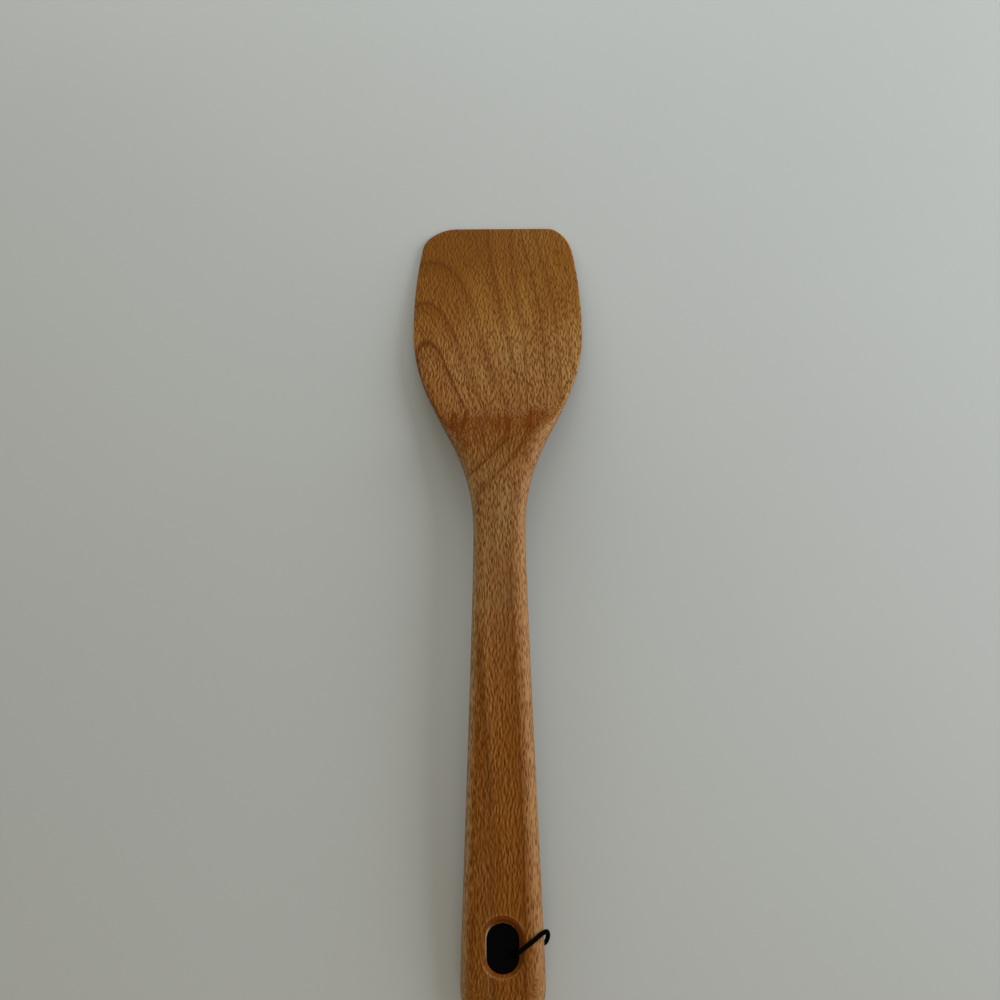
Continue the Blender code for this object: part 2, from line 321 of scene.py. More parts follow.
def stations():
    """Distances from the tip of the grid's rows, close together at the tip, crease, hole and end.

    Also the number of the first row of the hole's block. The rows at the tip and the end are spaced by a
    cosine.
    """
    ramp_start, ramp_end = BLADE_LENGTH - FINE_MARGIN, BLADE_LENGTH + RAMP_LENGTH + FINE_MARGIN
    corner = RIGHT_CORNER_LENGTH * (1.0 - np.cos(np.radians(np.linspace(1.5, 90.0, CORNER_ROWS))))
    blade = np.linspace(RIGHT_CORNER_LENGTH, ramp_start, BLADE_ROWS)
    ramp = np.linspace(ramp_start, ramp_end, RAMP_ROWS)
    neck = np.linspace(ramp_end, HOLE_BLOCK[0], NECK_ROWS)
    hole = np.linspace(HOLE_BLOCK[0], HOLE_BLOCK[1], HOLE_COLUMNS + 1)
    spacing = (1.0 - np.cos(np.radians(np.linspace(90.0, 0.6, END_ROWS)))) ** 1.2
    end = LENGTH - (LENGTH - HOLE_BLOCK[1]) * spacing
    rows = np.concatenate([corner, blade[1:], ramp[1:], neck[1:], hole[1:], end[1:]])
    first = len(corner) + len(blade) + len(ramp) + len(neck) - 4
    return rows, first


def quads_of(index):
    """Faces between neighbouring rows and columns of a table of point numbers."""
    corners = [index[:-1, :-1], index[1:, :-1], index[1:, 1:], index[:-1, 1:]]
    return np.stack(corners, axis=-1).reshape(-1, 4)


def closed(index):
    """The same table with its first column repeated at the end, so that it closes on itself."""
    return np.hstack([index, index[:, :1]])


def tube_of(points):
    """The points of rows that each close on themselves, and the faces between them."""
    index = np.arange(points.shape[0] * points.shape[1]).reshape(points.shape[:2])
    return points.reshape(-1, 3), quads_of(closed(index))


def travelled(line):
    """Length along a line of points up to each of them: the running sum of its steps."""
    return np.concatenate([[0.0], np.cumsum(np.linalg.norm(np.diff(line, axis=0), axis=1))])


def new_piece(name, points, quads, material):
    """A piece from points and faces, with doubles merged, normals outward and smooth faces.

    A quad that names a corner twice becomes a triangle.
    """
    mesh = bpy.data.meshes.new(name)
    mesh.from_pydata(points.tolist(), [], [list(dict.fromkeys(corners)) for corners in quads.tolist()])
    work = bmesh.new()
    work.from_mesh(mesh)
    bmesh.ops.remove_doubles(work, verts=work.verts, dist=2e-8)
    bmesh.ops.recalc_face_normals(work, faces=work.faces)
    work.to_mesh(mesh)
    work.free()
    mesh.polygons.foreach_set("use_smooth", np.ones(len(mesh.polygons), bool))
    mesh.update()
    mesh.materials.append(material)
    piece = bpy.data.objects.new(name, mesh)
    bpy.context.scene.collection.objects.link(piece)
    return piece


def slot_frame(points):
    """Places in the hole's own frame: across it, along it and along its axis."""
    offset = points - HOLE_CENTRE
    return offset[..., 0], offset @ HOLE_FORWARD, offset @ HOLE_AXIS


def slot_point(across, along, height):
    """The place in the paddle's frame of a place in the hole's own frame."""
    across, along, height = np.broadcast_arrays(across, along, height)
    return (HOLE_CENTRE + across[..., None] * np.array([1.0, 0.0, 0.0])
            + along[..., None] * HOLE_FORWARD + height[..., None] * HOLE_AXIS)


def skeleton(across, along):
    """Round the slot: the nearest place on its middle line, and the direction and distance from there."""
    middle = np.clip(along, -SLOT_STRAIGHT, SLOT_STRAIGHT)
    distance = np.hypot(across, along - middle)
    return middle, across / distance, (along - middle) / distance, distance


def on_face(across, along, side):
    """Height along the hole's axis at which a place meets the upper or lower face, by six corrections."""
    height = np.full_like(across, side * HOLE_HALF_DEPTH)
    for _ in range(6):
        point = slot_point(across, along, height)
        target = face_height(0.5 * LENGTH - point[..., 1], point[..., 0], side)
        height = height + (target - point[..., 2]) / HOLE_AXIS[2]
    return height


def half_sleeve(loop, side):
    """Rows from the edge of the opened block over the face to the slot and down its eased rim.

    On the face a row's distance from the slot shrinks evenly. On the rim the drop is the way inward to a
    power a little above 1, which gives a crisp bevel. One row lies close before each border.
    """
    across, along, _ = slot_frame(loop)
    middle, out_x, out_y, distance = skeleton(across, along)
    radius = 0.5 * HOLE_WIDTH
    blend = np.append(np.linspace(0.0, 1.0, SLEEVE_STEPS)[1:-1], (0.96, 1.0))[:, None]
    growth = (distance - radius) * (1.0 - blend) + RIM_WIDTH * blend
    inward = np.append(np.linspace(0.0, 1.0, SLEEVE_STEPS)[1:-1], (0.97, 1.0))[:, None]
    rim_growth = RIM_WIDTH * (1.0 - inward) * np.ones_like(distance)
    drop = np.vstack([np.zeros_like(blend), RIM_DEPTH * inward**RIM_POWER])
    growth = np.vstack([growth, rim_growth])
    x = out_x * (radius + growth)
    y = middle + out_y * (radius + growth)
    height = on_face(x, y, side) - side * drop
    return slot_point(x, y, height)


def paddle_grid():
    """The paddle's skin.

    Each row is a superellipse section: a point of the square outline is drawn in until the sum of its
    coordinates to the power of the squareness is 1, then spread between the left and right outline and
    between the faces. Rows near the crease lean with it. A block of the grid is left open round the hole
    on both faces, and a sleeve of rows runs from one opening through the hole to the other.
    """
    a, b = box_outline()
    rows, first = stations()
    row_t = rows[:, None]
    lean = RAMP_SKEW * ease(row_t, *LEAN_GROWS) * (1.0 - ease(row_t, *LEAN_FADES))
    t = np.repeat(row_t, len(a), axis=1)
    for _ in range(4):
        power = squareness(t)
        draw = (np.abs(a) ** power + np.abs(b) ** power) ** (-1.0 / power)
        left, right = side_edges(t)
        x = 0.5 * (left + right) + 0.5 * (right - left) * a * draw
        t = row_t - lean * x
    top, bottom = upper_side(t, x), underside(t)
    z = 0.5 * (top + bottom) + 0.5 * (top - bottom) * edge_fade(t) * b * draw
    skin = np.stack([x, 0.5 * LENGTH - t, np.maximum(z, 0.0)], axis=-1)

    count, around = z.shape
    index = np.arange(count * around).reshape(count, around)
    margin = (FACE_COLUMNS - HOLE_COLUMNS) // 2
    upper = np.arange(margin, FACE_COLUMNS - margin + 1)
    lower = 2 * FACE_COLUMNS + SIDE_COLUMNS - upper
    block = slice(first, first + HOLE_COLUMNS + 1)
    opened = np.zeros((count - 1, around), bool)
    opened[first:first + HOLE_COLUMNS, upper[:-1]] = True
    opened[first:first + HOLE_COLUMNS, lower[1:]] = True
    quads = quads_of(closed(index))[~opened.ravel()]

    def loop_of(columns):
        table = index[block][:, columns]
        return np.concatenate([table[0, :-1], table[:-1, -1], table[-1, :0:-1], table[:0:-1, 0]])

    points = skin.reshape(-1, 3)
    upper_loop, lower_loop = loop_of(upper), loop_of(lower)
    upper_rows = half_sleeve(points[upper_loop], 1.0)
    lower_rows = half_sleeve(points[lower_loop], -1.0)[::-1]
    share = np.linspace(0.0, 1.0, WALL_STEPS)[1:-1, None, None]
    wall = upper_rows[-1] * (1.0 - share) + lower_rows[0] * share
    sleeve = np.concatenate([upper_rows, wall, lower_rows])
    numbers = len(points) + np.arange(sleeve.shape[0] * sleeve.shape[1]).reshape(sleeve.shape[:2])
    numbers = np.vstack([upper_loop, numbers, lower_loop])

    mirrored = (2 * FACE_COLUMNS + SIDE_COLUMNS - np.arange(around)) % around
    zip_top = np.arange(0, FACE_COLUMNS + SIDE_COLUMNS // 2 + 1)
    zip_top = np.concatenate([np.arange(around - SIDE_COLUMNS // 2, around), zip_top])
    caps = [quads_of(np.stack([index[row][zip_top], index[row][mirrored[zip_top]]])) for row in (0, -1)]
    all_points = np.concatenate([points, sleeve.reshape(-1, 3)])
    all_quads = np.concatenate([quads, quads_of(closed(numbers)), *caps])
    return all_points, all_quads


def plug_grid():
    """The plug: a profile from a flat face's middle over its round edge and down the side to the other face.

    Every row is the slot's outline at a distance from its middle line. Each face dips where the cord
    enters it.
    """
    radius = 0.5 * HOLE_WIDTH - PLUG_GAP
    half_depth = HOLE_HALF_DEPTH - PLUG_RECESS
    turn = np.linspace(-0.5 * math.pi, 0.5 * math.pi, PLUG_END_POINTS)
    run = np.linspace(-SLOT_STRAIGHT, SLOT_STRAIGHT, PLUG_SIDE_POINTS + 2)[1:-1]
    ends, beside = np.full_like(turn, SLOT_STRAIGHT), np.ones_like(run)
    middle = np.concatenate([-ends, run, ends, run[::-1]])
    out_x = np.concatenate([np.sin(turn), beside, np.sin(turn[::-1]), -beside])
    out_y = np.concatenate([-np.cos(turn), 0.0 * run, np.cos(turn[::-1]), 0.0 * run])
    face = np.linspace(0.0, radius - PLUG_EDGE, PLUG_FACE_ROWS)
    bend = np.linspace(0.0, 0.5 * math.pi, PLUG_EDGE_ROWS + 1)[1:]
    reach = np.concatenate([face, radius - PLUG_EDGE * (1.0 - np.sin(bend))])
    level = np.concatenate([0.0 * face, PLUG_EDGE * (1.0 - np.cos(bend))])
    wall = np.linspace(1.0, -1.0, PLUG_WALL_ROWS + 2)[1:-1]
    reach = np.concatenate([reach, np.full_like(wall, radius), reach[::-1]])[:, None]
    upright = wall * (half_depth - PLUG_EDGE)
    height = np.concatenate([half_depth - level, upright, level[::-1] - half_depth])[:, None]
    x = out_x * reach
    y = middle + out_y * reach
    for side, (dip_x, dip_y) in ((1.0, UPPER_DIP), (-1.0, LOWER_DIP)):
        near = np.hypot(x - dip_x, y - dip_y) / (0.5 * CORD_DIAMETER)
        on_flat = side * height > half_depth - 0.1 * PLUG_EDGE
        height = height - side * DIP_DEPTH * (1.0 - ease(near, 1.0, 1.7)) * on_flat
    return tube_of(slot_point(x, y, height))


def smooth_route(route, step):
    """Catmull-Rom curves through the route's points, read again at an even step."""
    guide = np.vstack([2.0 * route[0] - route[1], route, 2.0 * route[-1] - route[-2]])
    u = np.linspace(0.0, 1.0, ROUTE_POINTS, endpoint=False)[:, None, None]
    p0, p1, p2, p3 = guide[:-3], guide[1:-2], guide[2:-1], guide[3:]
    curve = 0.5 * (2.0 * p1 + (p2 - p0) * u + (2.0 * p0 - 5.0 * p1 + 4.0 * p2 - p3) * u**2
                   + (3.0 * p1 - p0 - 3.0 * p2 + p3) * u**3)
    curve = np.vstack([curve.transpose(1, 0, 2).reshape(-1, 3), route[-1]])
    length = travelled(curve)
    even = np.linspace(0.0, length[-1], max(2, round(length[-1] / step)) + 1)
    return np.stack([np.interp(even, length, curve[:, k]) for k in range(3)], axis=-1)


def cord_grid(line):
    """A tube along the line, braided of strands that wind round it both ways.

    The radius is the full one less the relief times (1 - c^1.5), where c is the larger of the right-hand and
    the left-hand strands' cosines.
    """
    angle = np.linspace(0.0, 2.0 * math.pi, CORD_POINTS, endpoint=False)
    tangent = np.gradient(line, axis=0)
    tangent /= np.linalg.norm(tangent, axis=1, keepdims=True)
    up = np.array([0.0, 1.0, 0.0]) - tangent * tangent[:, 1:2]
    up /= np.linalg.norm(up, axis=1, keepdims=True)
    side = np.cross(tangent, up)
    turn = travelled(line)[:, None] / CORD_PITCH * 2.0 * math.pi
    right_hand = np.abs(np.cos(CORD_STRANDS * (angle + turn)))
    left_hand = np.abs(np.cos(CORD_STRANDS * (angle - turn)))
    relief = CORD_RELIEF * (np.maximum(right_hand, left_hand) ** 1.5 - 1.0)
    radius = 0.5 * CORD_DIAMETER + relief
    ring = radius[..., None] * (np.cos(angle)[:, None] * up[:, None] + np.sin(angle)[:, None] * side[:, None])
    ends = [np.repeat(line[k][None], CORD_POINTS, axis=0)[None] for k in (0, -1)]
    return tube_of(np.concatenate([ends[0], line[:, None] + ring, ends[1]]))


class Graph:
    """Short calls for adding nodes to a tree: a value that is a socket is linked, anything else is set."""

    def __init__(self, tree):
        self.tree = tree

    def add(self, kind, inputs=(), **settings):
        """A new node with these inputs and settings."""
        made = self.tree.nodes.new(kind)
        for name, value in settings.items():
            setattr(made, name, value)
        for name, value in dict(inputs).items():
            socket = made.inputs[name]
            if isinstance(value, bpy.types.NodeSocket):
                self.tree.links.new(value, socket)
            else:
                socket.default_value = value
        return made

    def math(self, operation, *values):
        """One operation of the Math node."""
        return self.add("ShaderNodeMath", dict(enumerate(values)), operation=operation).outputs[0]

    def product(self, first, *others):
        """All the values multiplied."""
        for other in others:
            first = self.math("MULTIPLY", first, other)
        return first

    def vector(self, operation, first, second):
        """One operation of the Vector Math node."""
        made = self.add("ShaderNodeVectorMath", {0: first, 1: second}, operation=operation)
        return made.outputs["Value" if operation == "LENGTH" else "Vector"]

    def xyz(self, x, y, z):
        """A vector from its three parts."""
        return self.add("ShaderNodeCombineXYZ", {0: x, 1: y, 2: z}).outputs[0]

    def split(self, vector):
        """The three parts of a vector or colour."""
        made = self.add("ShaderNodeSeparateXYZ", {0: vector})
        return made.outputs[0], made.outputs[1], made.outputs[2]

    def span(self, value, low, high, out_low=0.0, out_high=1.0, kind="SMOOTHSTEP"):
        """out_low where value is low, out_high where it is high, a smooth step between and level beyond."""
        inputs = {"Value": value, "From Min": low, "From Max": high, "To Min": out_low, "To Max": out_high}
        return self.add("ShaderNodeMapRange", inputs, interpolation_type=kind).outputs[0]

    def noise(self, vector, scale, detail=2.0, roughness=0.5):
        """A noise between 0 and 1 of this scale."""
        inputs = {"Vector": vector, "Scale": scale, "Detail": detail, "Roughness": roughness}
        return self.add("ShaderNodeTexNoise", inputs).outputs["Fac"]

    def mix(self, share, first, second, blend="MIX"):
        """The first colour with a share of the second laid over it, or blended with it in another way."""
        made = self.add("ShaderNodeMix", data_type="RGBA", blend_type=blend)
        for socket, value in ((made.inputs[0], share), (made.inputs[6], first), (made.inputs[7], second)):
            if isinstance(value, bpy.types.NodeSocket):
                self.tree.links.new(value, socket)
            else:
                socket.default_value = value
        return made.outputs[2]

    def ramp(self, value, stops):
        """A grey level read from straight lines between stops of place and level."""
        made = self.add("ShaderNodeValToRGB", {0: value})
        band = made.color_ramp
        band.elements[0].position = stops[0][0]
        band.elements[1].position = stops[-1][0]
        for place, _ in stops[1:-1]:
            band.elements.new(place)
        for element, (_, level) in zip(band.elements, stops):
            element.color = (level, level, level, 1.0)
        return made.outputs[0]


def new_group(name, inputs, outputs):
    """A node group with named sockets, and its graph, its inputs by name and its output node."""
    tree = bpy.data.node_groups.new(name, "ShaderNodeTree")
    for label, kind, value in inputs:
        socket = tree.interface.new_socket(label, in_out="INPUT", socket_type=kind)
        if value is not None:
            socket.default_value = value
    for label, kind in outputs:
        tree.interface.new_socket(label, in_out="OUTPUT", socket_type=kind)
    graph = Graph(tree)
    source = graph.add("NodeGroupInput")
    return tree, graph, source.outputs, graph.add("NodeGroupOutput")


def rgb(red, green, blue):
    """A colour of the display, 0 to 255, as the linear colour that nodes take."""
    part = np.array([red, green, blue]) / 255.0
    linear = np.where(part <= 0.04045, part / 12.92, ((part + 0.055) / 1.055) ** 2.4)
    return (*linear.tolist(), 1.0)


def flecks_group():
    """Short strokes along Y: a dark spindle round each point of a stretched cell texture, pale beside it.

    Its darkness falls smoothly from 1 near the point to 0 at the distance Reach from it, in units of
    Pitch across and in depth and of Length along. The pale sides are the same strokes moved by Halo,
    outside the dark ones.
    """
    sockets = [("Place", "NodeSocketVector", None), ("Pitch", "NodeSocketFloat", 0.75),
               ("Length", "NodeSocketFloat", 3.1), ("Reach", "NodeSocketFloat", 0.68),
               ("Halo", "NodeSocketFloat", 0.7)]
    outputs = [("Dark", "NodeSocketFloat"), ("Light", "NodeSocketFloat")]
    tree, g, given, result = new_group("beech_flecks", sockets, outputs)
    size = g.xyz(given["Pitch"], given["Length"], given["Pitch"])

    def strokes(place):
        inputs = {"Vector": g.vector("DIVIDE", place, size), "Scale": 1.0, "Randomness": 1.0}
        cells = g.add("ShaderNodeTexVoronoi", inputs)
        return g.span(cells.outputs["Distance"], given["Reach"], 0.05)

    aside = g.xyz(given["Halo"], 0.0, 0.0)
    dark = strokes(given["Place"])
    beside = g.math("MAXIMUM", strokes(g.vector("ADD", given["Place"], aside)),
                    strokes(g.vector("SUBTRACT", given["Place"], aside)))
    g.tree.links.new(dark, result.inputs["Dark"])
    g.tree.links.new(g.product(beside, g.math("SUBTRACT", 1.0, dark)), result.inputs["Light"])
    return tree


def speckle_group():
    """Fine mottling and dust: a fine and a coarse noise, and small pale specks."""
    sockets = [("Place", "NodeSocketVector", None), ("Size", "NodeSocketFloat", 0.3)]
    outputs = [("Mottle", "NodeSocketFloat"), ("Dust", "NodeSocketFloat")]
    tree, g, given, result = new_group("fine_speckle", sockets, outputs)
    place = g.vector("DIVIDE", given["Place"], g.xyz(given["Size"], given["Size"], given["Size"]))
    coarse = g.product(g.noise(place, 0.17), 0.4)
    mottle = g.math("MULTIPLY_ADD", g.noise(place, 1.0, 4.0, 0.6), 0.6, coarse)
    cells = g.add("ShaderNodeTexVoronoi", {"Vector": place, "Scale": 0.35, "Randomness": 1.0})
    speck = g.span(cells.outputs["Distance"], 0.06, 0.16, 1.0, 0.0)
    speck = g.product(speck, g.span(g.split(cells.outputs["Color"])[0], 0.7, 0.95))
    g.tree.links.new(mottle, result.inputs["Mottle"])
    g.tree.links.new(speck, result.inputs["Dust"])
    return tree


def new_material(name):
    """A material with an empty tree but for its shader and output."""
    material = bpy.data.materials.new(name)
    material.use_nodes = True
    tree = material.node_tree
    tree.nodes.clear()
    graph = Graph(tree)
    shader = graph.add("ShaderNodeBsdfPrincipled")
    output = graph.add("ShaderNodeOutputMaterial")
    tree.links.new(shader.outputs[0], output.inputs[0])
    return material, graph, shader


def millimetres(g):
    """Object coordinates in millimetres."""
    return g.vector("MULTIPLY", g.add("ShaderNodeTexCoord").outputs["Object"], (1000.0, 1000.0, 1000.0))


def connect(g, shader, colour, rough, relief, strength, height, specular):
    """Feeds colour, roughness and a bump of a height in metres to the shader, and sets its specular level."""
    bump = g.add("ShaderNodeBump", {"Strength": strength, "Distance": height, "Height": relief})
    g.tree.links.new(colour, shader.inputs["Base Color"])
    g.tree.links.new(rough, shader.inputs["Roughness"])
    g.tree.links.new(bump.outputs[0], shader.inputs["Normal"])
    shader.inputs["Specular IOR Level"].default_value = specular


def growth_lines(g, x, y, z):
    """Distance from the heart line of the growth rings, and darkness of the lines at certain distances.

    The distance is the root of the sum of the squares of aside, below and deep, made wavy by two noises.
    Let v be 0.025y - 2.5, with y softly held over 62. Aside is x + 30.1 less a lean of v(8.2v - 6), which
    fades to the right and in the neck. Below is 7.6 + v(12.8 + v(7.4 - 3.6v)). Deep is 0.12 of the height
    over 10, and it grows by 34.5 where the ramp cuts down into older wood, so that the lines draw in
    across the neck.
    """
    drift = g.noise(g.xyz(x, g.product(y, 0.3), z), 0.06, 2.0)
    jitter = g.noise(g.xyz(x, g.product(y, 0.35), z), 1.1, 2.0, 0.6)
    v = g.math("MULTIPLY_ADD", g.math("SMOOTH_MAX", y, 62.0, 10.0), 0.025, -2.5)
    lean = g.math("MULTIPLY_ADD", v, 8.2, -6.0)
    lean = g.product(v, lean, g.span(x, 6.2, 12.5, 1.0, 0.0), g.span(y, 46.0, 62.0))
    aside = g.math("SUBTRACT", g.math("ADD", x, HEART_ASIDE), lean)
    below = g.math("MULTIPLY_ADD", v, g.math("MULTIPLY_ADD", v, -3.6, 7.4), 12.8)
    below = g.math("MULTIPLY_ADD", v, below, 7.6)
    deep = g.math("MULTIPLY_ADD", g.math("SUBTRACT", z, 10.0), 0.12, g.span(y, 67.0, 23.5, 0.0, 34.5))
    deep = g.math("ADD", deep, g.span(y, -10.0, -90.0, 0.0, -3.2))
    square = g.product(aside, aside)
    square = g.math("MULTIPLY_ADD", below, below, square)
    square = g.math("MULTIPLY_ADD", deep, deep, square)
    ring = g.math("ADD", g.math("SQRT", square), g.math("MULTIPLY_ADD", drift, 1.6, -0.8))
    ring = g.math("ADD", ring, g.math("MULTIPLY_ADD", jitter, 1.2, -0.6))

    stops = [(0.0, 0.0)]
    for radius, depth, reach in GROWTH_LINES:
        stops += [((radius - LINE_LEAD) / LAST_RING, 0.0), ((radius - reach) / LAST_RING, 0.3 * depth),
                  (radius / LAST_RING, depth), ((radius + reach) / LAST_RING, 0.0)]
    growth = g.ramp(g.math("DIVIDE", ring, LAST_RING), stops)
    stronger = g.product(g.span(y, 65.0, 52.0), g.span(ring, 28.0, 32.0, -0.5, 0.4), g.span(y, 10.0, 34.0))
    uneven = g.span(jitter, 0.35, 0.6, 0.7, 1.15)
    outer = g.product(g.span(y, -12.0, 14.0), g.span(y, 66.0, 58.0), g.span(ring, 45.0, 48.0, 0.0, 0.75))
    growth = g.product(growth, g.math("ADD", stronger, 1.0), uneven, g.math("SUBTRACT", 1.0, outer))
    return ring, growth


def fleck_marks(g, flecks, x, y, z, along):
    """Darkness and paleness of the flecks.

    Their depth is measured from the upper face, so that they keep their length where the face slopes. The
    face is a straight climb along the blade, plus a quarter sine up the ramp, less the handle's fall by a
    power law.
    """
    sway = g.noise(g.xyz(x, y, z), 0.05, 1.0)
    climb = g.span(g.math("MULTIPLY_ADD", x, -RAMP_SKEW, y), CREASE, RAMP_TOP, 0.0, 0.5 * math.pi, "LINEAR")
    ramp = g.product(g.math("SINE", climb), g.span(z, 11.3, 13.3, 0.0, RAMP_RISE))
    face = g.math("ADD", ramp, g.span(y, TIP, CREASE, TIP_FACE, CREASE_FACE, "LINEAR"))
    fall = g.math("POWER", g.span(y, ARCH_START, END_REST, 0.0, 1.0, "LINEAR"), ARCH_POWER)
    from_face = g.math("SUBTRACT", z, g.math("MULTIPLY_ADD", fall, -HANDLE_FALL, face))
    pitch = g.math("ADD", g.span(y, 62.0, 40.0, 0.48, 0.37), g.span(y, 10.0, -50.0, 0.0, 0.08))
    inputs = {"Place": g.xyz(g.math("MULTIPLY_ADD", sway, 3.0, x), y, from_face), "Pitch": pitch,
              "Length": g.span(y, 30.0, -20.0, 2.8, 3.2), "Reach": g.span(y, 60.0, -20.0, 0.66, 0.63)}
    marks = g.add("ShaderNodeGroup", inputs, node_tree=flecks)
    strong = g.ramp(along, FLECKS_ALONG)
    return g.product(marks.outputs["Dark"], strong), g.product(marks.outputs["Light"], strong)


def painted_sheen_share(g, x, y, along, broad):
    """Share of the pale tone, a painted sheen: its course along the paddle, broken by clouds, with more of it
    on the right as painted light from the lamp there.
    """
    course = g.ramp(along, PAINTED_SHEEN_ALONG)
    course = g.product(course, g.span(broad, 0.35, 0.62, 1.15, 0.75), g.span(x, -30.0, -10.0, 0.35, 1.1))
    streak = g.product(g.span(x, -8.0, -5.0), g.span(x, -1.0, -4.0), g.span(y, -45.0, -65.0, 0.0, 0.15))
    # painted light: the blade's right part paler, towards the lamp on the right
    painted_light_right = g.span(x, -2.0, 12.0, 0.0, 0.14)
    return g.math("MULTIPLY_ADD", painted_light_right, g.span(y, 75.0, 95.0), g.math("ADD", course, streak))


def ramp_grain(g, x, y, z):
    """The band of end grain past the crease, on the upper side only, and its darkness.

    The band starts and ends at smooth steps of the distance past a leaning line, which a noise makes
    ragged. Its darkness is the band times a course across the ramp.
    """
    across = g.ramp(g.math("MULTIPLY_ADD", x, 1.0 / GRAIN_WIDTH, 0.5), END_GRAIN_ACROSS)
    past = g.math("SUBTRACT", g.math("MULTIPLY_ADD", x, 0.06, 63.2), y)
    past = g.math("MULTIPLY_ADD", across, 2.0, past)
    ragged = g.noise(g.xyz(x, g.product(y, 0.03), g.product(z, 0.1)), 0.9, 1.0)
    past = g.math("ADD", past, g.math("MULTIPLY_ADD", ragged, 16.0, -8.0))
    stripes = g.noise(g.xyz(g.math("ADD", x, 40.0), g.product(y, 0.04), g.product(z, 0.1)), 1.1, 1.0)
    stripes = g.span(stripes, 0.38, 0.6, 0.3, 1.15)
    band = g.product(g.span(past, -0.5, 2.0), g.span(past, 20.0, 7.0), stripes, g.span(z, 10.3, 11.8))
    return band, g.product(band, across)


def hole_rim(g, x, y):
    """Distance from the hanging hole's edge, the share of painted shade on its rim, deeper towards the right,
    and the shares of the painted highlights at its borders.

    The distance is that from the nearest place on the hole's middle line less the hole's radius.
    """
    from_middle = g.math("SUBTRACT", y, HOLE_MIDDLE)
    nearest = g.math("MINIMUM", g.math("MAXIMUM", from_middle, -HOLE_STRAIGHT), HOLE_STRAIGHT)
    from_slot = g.vector("LENGTH", g.xyz(x, g.math("SUBTRACT", from_middle, nearest), 0.0), (0.0, 0.0, 0.0))
    from_edge = g.math("SUBTRACT", from_slot, HOLE_RADIUS)
    rim_painted_shade = g.product(g.span(from_edge, 1.9, 1.5), g.span(from_edge, -0.6, -0.2),
                        g.span(g.math("ADD", x, from_middle), 2.0, 8.0, 0.3, 0.8))
    outer_rim_highlight = g.product(g.span(from_edge, 1.5, 1.9), g.span(from_edge, 2.5, 1.95),
                           g.span(g.math("ABSOLUTE", from_middle), 3.0, 7.0))
    inner_rim_highlight = g.product(g.span(from_edge, -0.3, 0.0), g.span(from_edge, 0.3, 0.1),
                           g.span(x, 1.0, -2.0), g.span(from_middle, 7.6, 5.0))
    return from_edge, rim_painted_shade, outer_rim_highlight, inner_rim_highlight


